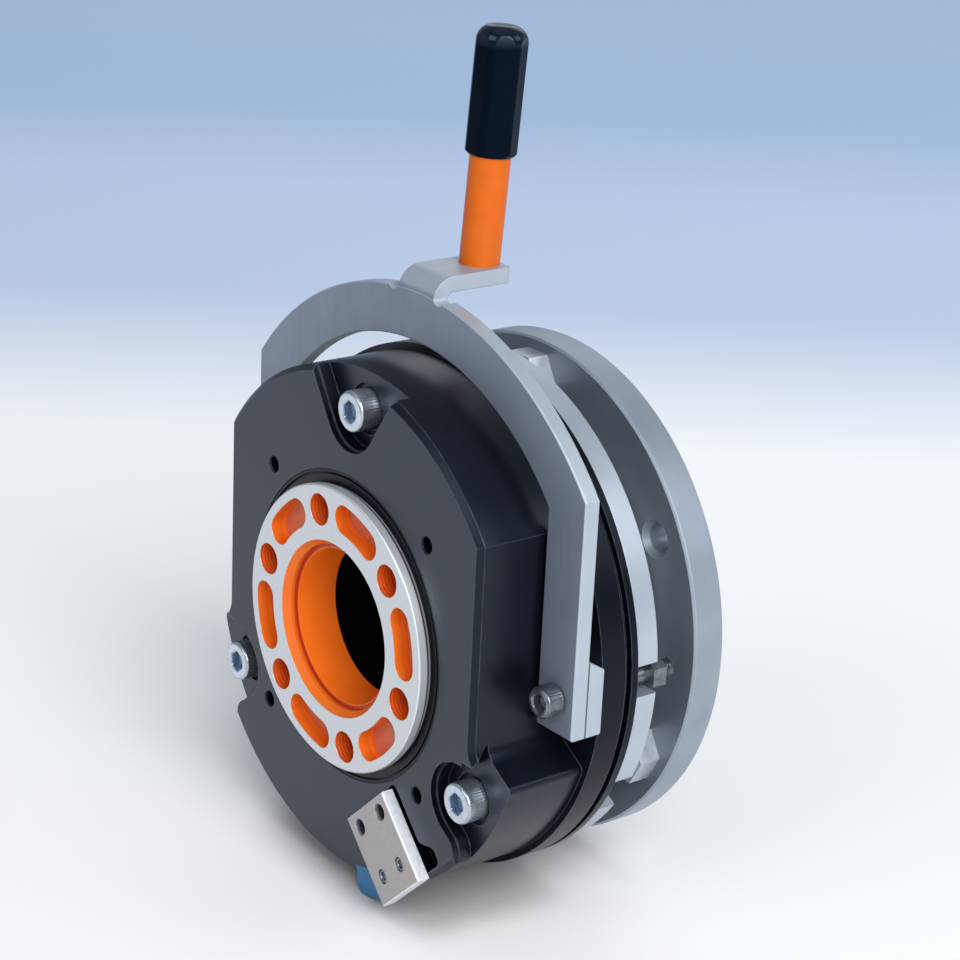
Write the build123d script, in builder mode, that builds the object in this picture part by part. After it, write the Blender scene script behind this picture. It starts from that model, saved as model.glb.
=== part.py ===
from build123d import *
import os
from math import cos, radians, sin, sqrt, tan

# Spring-applied brake with a flanged hub and a hand release.
# Millimetres. The brake axis is Y, the hub faces -Y, the lever points up (+Z).
# The origin is the centre of the mounting flange's rear face.

# Stack along the axis, from the rear face to the front
flange_thickness = 12.1
rotor_space = 15.2
armature_thickness = 8.6
air_gap = 0.4
body_length = 48.1
hub_proud = 4.4

flange_rear = 0.0
flange_front = flange_rear - flange_thickness
armature_rear = flange_front - rotor_space
armature_front = armature_rear - armature_thickness
body_rear = armature_front - air_gap
body_front = body_rear - body_length
hub_front = body_front - hub_proud

# Magnet body
body_radius = 82.5
rim_step = 2.1
rim_radius = body_radius + rim_step
rim_length = 14.0
rim_front = body_rear - rim_length
dust_groove_drop = 2.4
dust_groove_radius = rim_radius - dust_groove_drop
dust_groove_width = 2.4
dust_lip_width = 2.5
flat_depth = 15.8
flat_offset = body_radius - flat_depth
ear_half_width = 17.2
ear_shoulder_radius = 8.0
ear_rim_radius = 2.0
ear_notch_rise = 4.25
ear_notch_drop = 2.15
ear_notch_depth = 4.0
ear_notch_reach = 8.0
front_chamfer = 1.8
bore_wall = 1.4
hub_recess_gap = 1.8
hub_recess_depth = 7.2
seal_recess_gap = 5.0
seal_recess_depth = 3.2
face_hole_inset = 7.8
face_hole_radius = 2.5
face_hole_depth = 12.0
face_hole_chamfer = 0.4
face_hole_start = 45.0

# The three fixing screws and their pockets
screw_inset = 12.0
screw_circle = body_radius - screw_inset
screw_angles = (90.0, -30.0, -150.0)
screw_radius = 4.0
screw_length = 75.0
screw_head_radius = 6.5
screw_head_height = 8.0
screw_socket_flats = 6.0
screw_socket_depth = 4.0
screw_head_edge = 0.6
screw_tip_edge = 0.5
screw_clearance = 0.2
pocket_radius = 13.0
pocket_depth = 6.4
pocket_flare = 33.0
pocket_lip_radius = 6.0
pocket_lip_setback = 2.7
pocket_overrun = 7.5
pocket_ledge = 0.6
pocket_ledge_depth = 2.2
pocket_end = body_radius + pocket_overrun
spotface_radius = 8.0
spotface_depth = 7.7
sleeve_radius = 7.0
sleeve_collar_flats = 17.0
sleeve_collar_length = 7.7
sleeve_spigot_radius = 5.6
sleeve_spigot_length = 8.0
spigot_clearance = 0.05

# Coil and brake springs
coil_wall = 8.5
coil_width = 11.5
coil_slot_depth = 27.0
coil_clearance = 0.1
bobbin_wall = 1.2
bobbin_recess = 0.8
spring_count = 8
spring_wall = 1.6
spring_radius = 3.6
spring_wire_radius = 0.6
spring_turns = 4
spring_bore_radius = 4.0
spring_bore_depth = 16.0
spring_start = 22.5

# Armature plate
armature_overhang = 1.0
armature_radius = body_radius + armature_overhang
armature_bore_gap = 1.0
armature_edge = 0.5
guide_notch_clearance = 0.5
release_notch_low = -3.7
release_notch_high = 6.4
release_notch_room = 4.2
release_notch_length = 32.0
release_notch_corner = 2.5

# Rotor and hub
hub_flange_reach = 5.7
hub_face_lip = 0.8
hub_face_rim = 3.0
hub_flange_thickness = 10.0
hub_tube_gap = 6.1
hub_wall = 8.4
hub_mouth_width = 1.8
hub_cone_depth = 2.4
hub_step_width = 1.6
hub_step_depth = 4.1
hub_bore_length = 18.5
hub_relief_step = 2.0
hub_rear_seat = 14.0
hub_rear_gap = 1.2
hub_edge = 0.4
hub_hole_inset = 7.2
hub_hole_count = 6
hub_hole_radius = 5.1
hub_hole_depth = 9.0
hub_hole_start = 43.0
kidney_half_angle = 10.0
kidney_radius = 4.7
kidney_depth = 5.6
spline_teeth = 24
spline_gap = 3.5
spline_tooth_height = 2.4
spline_root_half = 2.7
spline_tip_half = 1.6
spline_length = 22.0
spline_clearance = 0.07
damper_thickness = 2.4
damper_groove_depth = 4.8
damper_groove_width = 3.0
rotor_gap = 9.5
rotor_radius = screw_circle - rotor_gap
rotor_float = 0.1
carrier_thickness = 7.0
rotor_boss_wall = 6.0
lining_gap = 2.0
rotor_boss_step = 1.0
lining_thickness = (rotor_space - 2 * rotor_float - carrier_thickness) / 2

# Mounting flange
flange_overhang = 0.5
flange_radius = body_radius + flange_overhang
flange_bore_radius = 31.0
flange_edge = 0.7
flange_lip_width = 1.8
flange_lip_step = 0.4
flange_hole_angles = (30.0, 150.0, 270.0)
flange_hole_radius = 4.5
flange_sink_radius = 6.1
thread_clearance = 0.05

# Hand release: bow, fulcrum blocks, lever and screws
bow_standoff = 6.2
bow_thickness = 5.0
bow_clearance = 6.5
bow_inner_radius = body_radius + bow_clearance
bow_inner_height = 0.6
bow_rise = 18.8
bow_outer_radius = bow_inner_radius + bow_rise
bow_centre_height = -2.5
bow_side_gap = 1.7
bow_leg_width = 16.6
bow_half_width = flat_offset + bow_side_gap + bow_leg_width
bow_foot_height = -11.0
bow_edge = 0.4
tab_half_width = 9.0
tab_bend_radius = 3.0
tab_rise = 5.9
tab_top_height = bow_centre_height + bow_outer_radius + tab_rise
tab_length = 24.6
tab_corner = 1.5
tab_notch_radius = 2.6
tab_notch_drop = 8.0
tab_notch_bottom = tab_top_height - tab_notch_drop
rod_radius = 6.4
rod_lean = 4.0
rod_length = 58.0
rod_setback = 5.5
rod_stud_radius = 4.0
rod_stud_clearance = 0.05
grip_start = 33.5
grip_length = 39.5
grip_radius = 8.0
grip_flats = 14.9
grip_bore_clearance = 0.05
grip_top_radius = 5.0
grip_foot_chamfer = 1.0
block_top_front = 13.5
block_top_rear = 10.0
block_clearance = 0.05
release_screw_radius = 3.0
release_head_radius = 5.0
release_head_height = 6.0
release_head_play = 0.5
release_screw_length = 44.7
release_socket_flats = 5.0
release_socket_depth = 3.0
release_clearance = 0.9
release_spring_radius = 4.9
release_spring_wire = 0.6
release_spring_turns = 4
release_spring_seat = 8.0
release_spring_bore = 5.4
release_nut_flats = 10.0
release_nut_height = 5.0
release_nut_turn = 30.0

# Cable clamp plate, its screws and the lead outlet
clamp_inset = 12.2
clamp_angle = -64.56
clamp_turn = -46.0
clamp_length = 30.0
clamp_width = 24.8
clamp_thickness = 4.2
clamp_edge = 0.4
clamp_hole_radius = 2.75
clamp_hole_offset = 10.2
clamp_hole_half = 6.9
clamp_screw_radius = 1.5
clamp_screw_head_radius = 2.3
clamp_screw_head_height = 1.2
clamp_screw_head_edge = 0.4
clamp_screw_length = 9.6
clamp_sink_clearance = 0.1
clamp_sink_depth = 1.6
clamp_screw_depth = 8.0
clamp_screw_offset = 7.0
clamp_screw_half = 5.8
channel_start = -16.0
channel_end = 13.3
channel_inner = 9.4
channel_outer = 14.6
channel_flare_start = 4.0
channel_flare_outer = 20.6
channel_depth = 6.0
channel_corner = 2.0
grommet_angle = -76.0
grommet_half_width = 8.5
grommet_inset = 3.5
grommet_inner = body_radius - grommet_inset
grommet_rise = 9.5
grommet_outer = grommet_inner + grommet_rise
grommet_depth = 7.6
grommet_corner = 3.0
grommet_fit = 0.05

seal_gap = 0.4
seal_thickness = 3.0
seal_fit = 0.1
seal_groove_insets = (1.6, 3.2)
seal_groove_width = 0.7
seal_groove_depth = 1.0

# Radii worked out from the rim inwards, so that all that lies inside the body follows it
coil_outer_radius = screw_circle - coil_wall
coil_inner_radius = coil_outer_radius - coil_width
spring_ring_radius = coil_inner_radius - spring_wall - spring_bore_radius
body_bore_radius = spring_ring_radius - spring_bore_radius - bore_wall
armature_bore_radius = body_bore_radius + armature_bore_gap
hub_tube_radius = body_bore_radius - hub_tube_gap
hub_bore_radius = hub_tube_radius - hub_wall
hub_step_radius = hub_bore_radius + hub_step_width
hub_mouth_radius = hub_step_radius + hub_mouth_width
hub_relief_radius = hub_bore_radius + hub_relief_step
hub_flank_radius = body_bore_radius + hub_flange_reach
hub_face_radius = hub_flank_radius + hub_face_lip
hub_hole_ring_radius = hub_flank_radius - hub_hole_inset
hub_recess_radius = hub_flank_radius + hub_recess_gap
seal_recess_radius = hub_flank_radius + seal_recess_gap
seal_inner_radius = hub_flank_radius + seal_gap
face_hole_ring_radius = seal_recess_radius + face_hole_inset
spline_tip_radius = body_bore_radius - spline_gap
spline_root_radius = spline_tip_radius - spline_tooth_height
damper_groove_radius = spline_tip_radius - damper_groove_depth
rotor_boss_radius = spline_tip_radius + rotor_boss_wall
lining_inner_radius = rotor_boss_radius + lining_gap

# Places worked out from the sizes above
bow_rear = rim_front - bow_standoff
bow_front = bow_rear - bow_thickness
leg_centre = bow_half_width - bow_leg_width / 2
tab_end = bow_rear + tab_length
rod_place = tab_end - rod_setback
pocket_floor = body_front + pocket_depth
pocket_step = body_front + pocket_ledge_depth
head_seat = body_front + spotface_depth
hub_rear = flange_front - hub_rear_gap
carrier_rear = flange_front - rotor_float - lining_thickness
carrier_front = carrier_rear - carrier_thickness
damper_place = (carrier_rear + carrier_front) / 2
both_sides = (-1, 1)

# The upper edge of the right ear: where it leaves the side flat and where it meets the rim
ear_tilt = radians(screw_angles[1])
ear_start = (flat_offset + ear_half_width * sin(ear_tilt)) / cos(ear_tilt)
ear_shoulder_height = ear_start * sin(ear_tilt) + ear_half_width * cos(ear_tilt)
ear_end = sqrt(body_radius**2 - ear_half_width**2)
ear_rim_x = ear_end * cos(ear_tilt) - ear_half_width * sin(ear_tilt)
ear_rim_height = ear_end * sin(ear_tilt) + ear_half_width * cos(ear_tilt)
ear_notch_top = ear_shoulder_height + ear_notch_rise
ear_notch_bottom = ear_shoulder_height - ear_notch_drop


def face_at(y, turn=0.0):
    """A sketch plane across the axis at y, facing the front, turned about the axis."""
    along = (cos(radians(turn)), 0, sin(radians(turn)))
    return Plane(origin=(0, y, 0), x_dir=along, z_dir=(0, -1, 0))


def place_at(x, y, z):
    """A sketch plane across the axis with its own origin."""
    return Plane(origin=(x, y, z), x_dir=(1, 0, 0), z_dir=(0, -1, 0))


def on_circle(radius, angle):
    """A point on a circle about the axis, as a sketch point."""
    return (radius * cos(radians(angle)), radius * sin(radians(angle)))


def body_outline():
    """Round body with two side flats, and the ears that carry the lower screws."""
    Rectangle(2 * flat_offset, 2 * body_radius)
    for angle in screw_angles[1:]:
        with Locations(Location((0, 0, 0), (0, 0, angle))):
            Rectangle(body_radius, 2 * ear_half_width, align=(Align.MIN, Align.CENTER))
    Circle(body_radius, mode=Mode.INTERSECT)
    for side in both_sides:
        shoulder = vertices().sort_by_distance((side * flat_offset, ear_shoulder_height))[0]
        fillet(shoulder, ear_shoulder_radius)
        rim_corner = vertices().sort_by_distance((side * ear_rim_x, ear_rim_height))[0]
        fillet(rim_corner, ear_rim_radius)


def pocket_side(side, flare):
    """One side of a screw pocket, from the round bottom out through the rim."""
    if flare:
        start_x = side * pocket_radius * cos(radians(flare))
        start_y = screw_circle - pocket_radius * sin(radians(flare))
        run = pocket_end - start_y
        end_x = start_x + side * run * tan(radians(flare))
        Line((start_x, start_y), (end_x, pocket_end))
        return (start_x, start_y), (end_x, pocket_end)
    lip_y = body_radius - pocket_lip_radius - pocket_lip_setback
    lip_end = (side * (pocket_radius + pocket_lip_radius), lip_y + pocket_lip_radius)
    start = (side * pocket_radius, screw_circle)
    Line(start, (side * pocket_radius, lip_y))
    TangentArc((side * pocket_radius, lip_y), lip_end, tangent=(0, 1))
    Line(lip_end, (lip_end[0], pocket_end))
    return start, (lip_end[0], pocket_end)


def compression_springs(spots, start_y, end_y, radius, wire_radius, turns):
    """Round-wire springs along Y, one round each (x, z) spot, between two seats."""
    rise = end_y - start_y - 2 * wire_radius
    with BuildPart() as springs:
        for x, z in spots:
            foot = (x, start_y + wire_radius, z)
            with BuildLine() as path:
                Helix(rise / turns, rise, radius - wire_radius, foot, (0, 1, 0))
            with BuildSketch(Plane(origin=path.line @ 0, z_dir=path.line % 0)):
                RegularPolygon(wire_radius, 4)
            sweep(path=path.line, is_frenet=True)
    return springs


def socket_screws(spots, seat_y, radius, length, head_radius, head_height, flats, depth):
    """Socket cap screws, one at each (x, z) spot, with heads in front of the seat."""
    with BuildPart() as screws:
        with BuildSketch(face_at(seat_y)):
            with Locations(*spots):
                Circle(head_radius)
        extrude(amount=head_height)
        chamfer(edges().group_by(Axis.Y)[0], screw_head_edge)
        with BuildSketch(face_at(seat_y - head_height)):
            with Locations(*spots):
                RegularPolygon(flats / 2, 6, major_radius=False)
        extrude(amount=-depth, mode=Mode.SUBTRACT)
        with BuildSketch(face_at(seat_y)):
            with Locations(*spots):
                Circle(radius)
        extrude(amount=-length)
        chamfer(edges().group_by(Axis.Y)[-1], screw_tip_edge)
    return screws


# Magnet body: steel, with the coil slot and spring bores open to the rear
with BuildPart() as magnet_body:
    with BuildSketch(face_at(rim_front)):
        body_outline()
    extrude(amount=rim_front - body_front)
    chamfer(faces().sort_by(Axis.Y)[0].outer_wire().edges(), front_chamfer)
    with BuildSketch(face_at(body_rear)):
        Circle(rim_radius)
    extrude(amount=rim_length)
    with BuildSketch(face_at(body_rear - dust_lip_width)):
        Circle(rim_radius)
        Circle(dust_groove_radius, mode=Mode.SUBTRACT)
    extrude(amount=dust_groove_width, mode=Mode.SUBTRACT)
    # The through bore, the hub's recess and the seal's step
    with BuildSketch(face_at(body_front)):
        Circle(seal_recess_radius)
    extrude(amount=-seal_recess_depth, mode=Mode.SUBTRACT)
    with BuildSketch(face_at(body_front)):
        Circle(hub_recess_radius)
    extrude(amount=-hub_recess_depth, mode=Mode.SUBTRACT)
    with BuildSketch(face_at(body_front)):
        Circle(body_bore_radius)
    extrude(amount=-body_length, mode=Mode.SUBTRACT)
    # Coil slot and spring bores
    with BuildSketch(face_at(body_rear)):
        Circle(coil_outer_radius)
        Circle(coil_inner_radius, mode=Mode.SUBTRACT)
    extrude(amount=coil_slot_depth, mode=Mode.SUBTRACT)
    with BuildSketch(face_at(body_rear)):
        with PolarLocations(spring_ring_radius, spring_count, start_angle=spring_start):
            Circle(spring_bore_radius)
    extrude(amount=spring_bore_depth, mode=Mode.SUBTRACT)
    # Screw pockets with a small ledge: flared at the top, one flared side on each lower ear
    flares = ((pocket_flare, pocket_flare), (pocket_flare, 0.0), (0.0, pocket_flare))
    for angle, (left_flare, right_flare) in zip(screw_angles, flares):
        with BuildSketch(face_at(pocket_step, angle - 90.0)) as pocket:
            with BuildLine():
                left_start, left_end = pocket_side(-1, left_flare)
                right_start, right_end = pocket_side(1, right_flare)
                Line(left_end, right_end)
                ThreePointArc(left_start, (0, screw_circle - pocket_radius), right_start)
            make_face()
        extrude(amount=pocket_ledge_depth, mode=Mode.SUBTRACT)
        with BuildSketch(face_at(pocket_floor, angle - 90.0)):
            add(pocket.sketch_local)
            offset(amount=-pocket_ledge, mode=Mode.REPLACE)
        extrude(amount=pocket_depth, mode=Mode.SUBTRACT)
    with BuildSketch(face_at(head_seat)):
        for angle in screw_angles:
            with Locations(on_circle(screw_circle, angle)):
                Circle(spotface_radius)
    extrude(amount=spotface_depth, mode=Mode.SUBTRACT)
    with BuildSketch(face_at(body_rear)):
        for angle in screw_angles:
            with Locations(on_circle(screw_circle, angle)):
                Circle(screw_radius + screw_clearance)
    extrude(amount=body_length, mode=Mode.SUBTRACT)
    # A sloping notch above each ear, open to its pocket
    for side in both_sides:
        with BuildSketch(Plane.YZ.offset(side * (flat_offset - ear_notch_depth))):
            with BuildLine():
                Polyline(
                    (body_front, ear_notch_bottom),
                    (pocket_floor, ear_notch_top),
                    (pocket_floor, ear_notch_bottom - ear_notch_depth),
                    (body_front, ear_notch_bottom - ear_notch_depth),
                    close=True,
                )
            make_face()
        extrude(amount=side * (ear_notch_depth + ear_notch_reach), mode=Mode.SUBTRACT)
    with BuildSketch(face_at(body_rear)):
        for angle in screw_angles:
            with Locations(on_circle(screw_circle, angle)):
                Circle(sleeve_spigot_radius + spigot_clearance)
    extrude(amount=sleeve_spigot_length + screw_clearance, mode=Mode.SUBTRACT)
    # Four tapped holes in the front face
    with Locations(face_at(body_front)):
        with PolarLocations(face_hole_ring_radius, 4, start_angle=face_hole_start):
            CounterSinkHole(
                face_hole_radius, face_hole_radius + face_hole_chamfer, depth=face_hole_depth
            )
    # Holes and spring seats for the release screws
    for side in both_sides:
        with BuildSketch(place_at(side * leg_centre, body_rear, 0)):
            Circle(release_screw_radius + release_clearance)
        extrude(amount=rim_length, mode=Mode.SUBTRACT)
        with BuildSketch(place_at(side * leg_centre, rim_front, 0)):
            Circle(release_spring_bore)
        extrude(amount=-release_spring_seat, mode=Mode.SUBTRACT)
    # Lead channel beside the clamp plate, the clamp's tapped holes and the outlet notch
    clamp_spot = on_circle(body_radius - clamp_inset, clamp_angle)
    clamp_plane = Plane(
        origin=(clamp_spot[0], body_front, clamp_spot[1]),
        x_dir=(cos(radians(clamp_turn)), 0, sin(radians(clamp_turn))),
        z_dir=(0, -1, 0),
    )
    with BuildSketch(clamp_plane) as channel:
        with BuildLine():
            Polyline(
                (channel_start, channel_inner),
                (channel_end, channel_inner),
                (channel_end, channel_flare_outer),
                (channel_flare_start + 2 * channel_corner, channel_flare_outer),
                (channel_flare_start, channel_outer),
                (channel_start, channel_outer),
                close=True,
            )
        make_face()
        fillet(channel.vertices(), channel_corner)
    extrude(amount=-channel_depth, mode=Mode.SUBTRACT)
    with BuildSketch(clamp_plane):
        with Locations(
            (clamp_screw_offset, -clamp_screw_half), (clamp_screw_offset, clamp_screw_half)
        ):
            Circle(clamp_screw_radius + thread_clearance)
    extrude(amount=-clamp_screw_depth, mode=Mode.SUBTRACT)
    with BuildSketch(face_at(body_front, grommet_angle - 90.0)):
        with Locations((0, grommet_inner)):
            Rectangle(
                2 * (grommet_half_width + grommet_fit),
                body_radius,
                align=(Align.CENTER, Align.MIN),
            )
    extrude(amount=-grommet_depth, mode=Mode.SUBTRACT)
magnet_body.part.label = "magnet_body"

# Coil former: a plastic bobbin, and the winding on it
bobbin_rear = body_rear - bobbin_recess
bobbin_front = body_rear - coil_slot_depth + coil_clearance
bobbin_in = coil_inner_radius + coil_clearance
bobbin_out = coil_outer_radius - coil_clearance
with BuildPart() as coil_bobbin:
    with BuildSketch(Plane.XY):
        with BuildLine():
            Polyline(
                (bobbin_in, bobbin_front),
                (bobbin_out, bobbin_front),
                (bobbin_out, bobbin_front + bobbin_wall),
                (bobbin_in + bobbin_wall, bobbin_front + bobbin_wall),
                (bobbin_in + bobbin_wall, bobbin_rear - bobbin_wall),
                (bobbin_out, bobbin_rear - bobbin_wall),
                (bobbin_out, bobbin_rear),
                (bobbin_in, bobbin_rear),
                close=True,
            )
        make_face()
    revolve(axis=Axis.Y)
coil_bobbin.part.label = "coil_bobbin"

with BuildPart() as coil_winding:
    with BuildSketch(face_at(bobbin_rear - bobbin_wall)):
        Circle(bobbin_out - bobbin_wall / 2)
        Circle(bobbin_in + bobbin_wall, mode=Mode.SUBTRACT)
    extrude(amount=bobbin_rear - bobbin_front - 2 * bobbin_wall)
coil_winding.part.label = "coil_winding"

# Brake springs: they press the armature plate against the rotor
spring_step = 360.0 / spring_count
brake_springs = compression_springs(
    [on_circle(spring_ring_radius, spring_start + i * spring_step) for i in range(spring_count)],
    body_rear - spring_bore_depth,
    armature_front,
    spring_radius,
    spring_wire_radius,
    spring_turns,
)
brake_springs.part.label = "brake_springs"

# Armature plate: slotted for the guide sleeves and the release screws
with BuildPart() as armature_plate:
    with BuildSketch(face_at(armature_rear)):
        Circle(armature_radius)
        Circle(armature_bore_radius, mode=Mode.SUBTRACT)
    extrude(amount=armature_thickness)
    chamfer(edges().filter_by(GeomType.CIRCLE), armature_edge)
    notch_radius = sleeve_radius + guide_notch_clearance
    for angle in screw_angles:
        with BuildSketch(face_at(armature_rear, angle - 90.0)):
            with Locations((0, screw_circle)):
                Circle(notch_radius)
                Rectangle(2 * notch_radius, armature_radius, align=(Align.CENTER, Align.MIN))
        extrude(amount=armature_thickness, mode=Mode.SUBTRACT)
    for side in both_sides:
        notch_height = release_notch_high - release_notch_low
        notch_middle = (release_notch_high + release_notch_low) / 2
        notch_x = side * (leg_centre - release_notch_room + release_notch_length / 2)
        with BuildSketch(place_at(notch_x, armature_rear, notch_middle)):
            RectangleRounded(release_notch_length, notch_height, release_notch_corner)
        extrude(amount=armature_thickness, mode=Mode.SUBTRACT)
armature_plate.part.label = "armature_plate"


def spline_profile(clearance):
    """The hub's outer teeth, or the same teeth grown by a clearance for the rotor."""
    root = spline_root_radius + clearance
    tip = spline_tip_radius + clearance
    Circle(root)
    with PolarLocations(0, spline_teeth):
        with BuildLine(mode=Mode.PRIVATE) as tooth:
            Polyline(
                (root - spline_tooth_height, spline_root_half + clearance),
                (root, spline_root_half + clearance),
                (tip, spline_tip_half + clearance),
                (tip, -spline_tip_half - clearance),
                (root, -spline_root_half - clearance),
                (root - spline_tooth_height, -spline_root_half - clearance),
                close=True,
            )
        make_face(tooth.edges())


# Flanged hub: bolted to the driven wheel at the front, splined for the rotor at the rear
with BuildPart() as flanged_hub:
    with BuildSketch(face_at(hub_front + hub_face_rim)):
        Circle(hub_face_radius)
    extrude(amount=hub_face_rim)
    chamfer(edges().group_by(Axis.Y)[0], hub_edge)
    with BuildSketch(face_at(hub_front + hub_flange_thickness)):
        Circle(hub_flank_radius)
    extrude(amount=hub_flange_thickness - hub_face_rim)
    with BuildSketch(face_at(hub_rear)):
        Circle(hub_tube_radius)
    extrude(amount=hub_rear - hub_front - hub_flange_thickness)
    with BuildSketch(face_at(hub_rear)):
        spline_profile(0.0)
    extrude(amount=spline_length)
    with BuildSketch(face_at(damper_place + damper_groove_width / 2)):
        Circle(spline_tip_radius)
        Circle(damper_groove_radius, mode=Mode.SUBTRACT)
    extrude(amount=damper_groove_width, mode=Mode.SUBTRACT)
    # The bore: cone and step at the mouth, a seat, a relief and a second seat at the rear
    with BuildSketch(Plane.XY):
        step_end = hub_front + hub_step_depth
        bore_end = hub_front + hub_bore_length
        seat_start = hub_rear - hub_rear_seat
        with BuildLine():
            Polyline(
                (0, hub_front),
                (hub_mouth_radius, hub_front),
                (hub_step_radius, hub_front + hub_cone_depth),
                (hub_step_radius, step_end),
                (hub_bore_radius, step_end),
                (hub_bore_radius, bore_end),
                (hub_relief_radius, bore_end),
                (hub_relief_radius, seat_start),
                (hub_bore_radius, seat_start),
                (hub_bore_radius, hub_rear),
                (0, hub_rear),
                close=True,
            )
        make_face()
    revolve(axis=Axis.Y, mode=Mode.SUBTRACT)
    # Six tapped holes, with a kidney pocket between each pair
    with BuildSketch(face_at(hub_front)):
        with PolarLocations(hub_hole_ring_radius, hub_hole_count, start_angle=hub_hole_start):
            Circle(hub_hole_radius)
    extrude(amount=-hub_hole_depth, mode=Mode.SUBTRACT)
    kidney_start = hub_hole_start + 180.0 / hub_hole_count
    with BuildSketch(face_at(hub_front)):
        for index in range(hub_hole_count):
            middle = kidney_start + index * 360.0 / hub_hole_count
            with BuildLine():
                slot_path = CenterArc(
                    (0, 0), hub_hole_ring_radius, middle - kidney_half_angle, 2 * kidney_half_angle
                )
            SlotArc(slot_path, 2 * kidney_radius)
    extrude(amount=-kidney_depth, mode=Mode.SUBTRACT)
flanged_hub.part.label = "flanged_hub"

# Damper ring: a square-section rubber ring in the spline, to quieten the rotor
with BuildPart() as damper_ring:
    with BuildSketch(Plane.XY):
        with Locations((damper_groove_radius + damper_thickness / 2, damper_place)):
            Rectangle(damper_thickness, damper_thickness)
    revolve(axis=Axis.Y)
damper_ring.part.label = "damper_ring"

# Rotor carrier: aluminium, splined to the hub
with BuildPart() as rotor_carrier:
    with BuildSketch(face_at(carrier_rear)):
        Circle(rotor_radius)
    extrude(amount=carrier_thickness)
    with BuildSketch(face_at(carrier_rear + lining_thickness - rotor_boss_step)):
        Circle(rotor_boss_radius)
    extrude(amount=carrier_thickness + 2 * (lining_thickness - rotor_boss_step))
    with BuildSketch(face_at(carrier_rear + lining_thickness)):
        spline_profile(spline_clearance)
    extrude(amount=carrier_thickness + 2 * lining_thickness, mode=Mode.SUBTRACT)
rotor_carrier.part.label = "rotor_carrier"


def lining(rear_y):
    """A friction ring, bonded to one side of the carrier."""
    with BuildPart() as ring:
        with BuildSketch(face_at(rear_y)):
            Circle(rotor_radius)
            Circle(lining_inner_radius, mode=Mode.SUBTRACT)
        extrude(amount=lining_thickness)
    return ring


rear_lining = lining(carrier_rear + lining_thickness)
rear_lining.part.label = "rear_lining"

front_lining = lining(carrier_front)
front_lining.part.label = "front_lining"

# Mounting flange: friction face in front, register face behind
with BuildPart() as mounting_flange:
    with BuildSketch(face_at(flange_rear)):
        Circle(flange_radius - flange_lip_step)
    extrude(amount=flange_lip_width)
    with BuildSketch(face_at(flange_rear - flange_lip_width)):
        Circle(flange_radius)
    extrude(amount=flange_thickness - flange_lip_width)
    chamfer(edges().group_by(Axis.Y)[0], flange_edge)
    chamfer(edges().group_by(Axis.Y)[-1], flange_edge)
    with BuildSketch(face_at(flange_rear)):
        Circle(flange_bore_radius)
    extrude(amount=flange_thickness, mode=Mode.SUBTRACT)
    with Locations(face_at(flange_front)):
        for angle in flange_hole_angles:
            with Locations(on_circle(screw_circle, angle)):
                CounterSinkHole(flange_hole_radius, flange_sink_radius, depth=flange_thickness)
    with BuildSketch(face_at(flange_rear)):
        for angle in screw_angles:
            with Locations(on_circle(screw_circle, angle)):
                Circle(screw_radius + thread_clearance)
    extrude(amount=flange_thickness, mode=Mode.SUBTRACT)
mounting_flange.part.label = "mounting_flange"

# Guide sleeves: screwed into the body, they set the rotor space and guide the armature.
# Each has a hexagon collar against the flange, with one flat towards the rotor.
with BuildPart() as guide_sleeves:
    for angle in screw_angles:
        spot = on_circle(screw_circle, angle)
        with BuildSketch(place_at(spot[0], flange_front, spot[1])):
            Circle(sleeve_radius)
        extrude(amount=flange_front - body_rear)
        with BuildSketch(place_at(spot[0], flange_front, spot[1])):
            RegularPolygon(sleeve_collar_flats / 2, 6, major_radius=False, rotation=angle - 90.0)
        extrude(amount=sleeve_collar_length)
        with BuildSketch(place_at(spot[0], body_rear, spot[1])):
            Circle(sleeve_spigot_radius)
        extrude(amount=sleeve_spigot_length)
        with BuildSketch(place_at(spot[0], flange_front, spot[1])):
            Circle(screw_radius + screw_clearance)
        extrude(amount=flange_front - body_rear + sleeve_spigot_length, mode=Mode.SUBTRACT)
guide_sleeves.part.label = "guide_sleeves"


# Mounting screws: through body and sleeves into the flange
mounting_screws = socket_screws(
    [on_circle(screw_circle, angle) for angle in screw_angles],
    head_seat,
    screw_radius,
    screw_length,
    screw_head_radius,
    screw_head_height,
    screw_socket_flats,
    screw_socket_depth,
)
mounting_screws.part.label = "mounting_screws"

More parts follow.
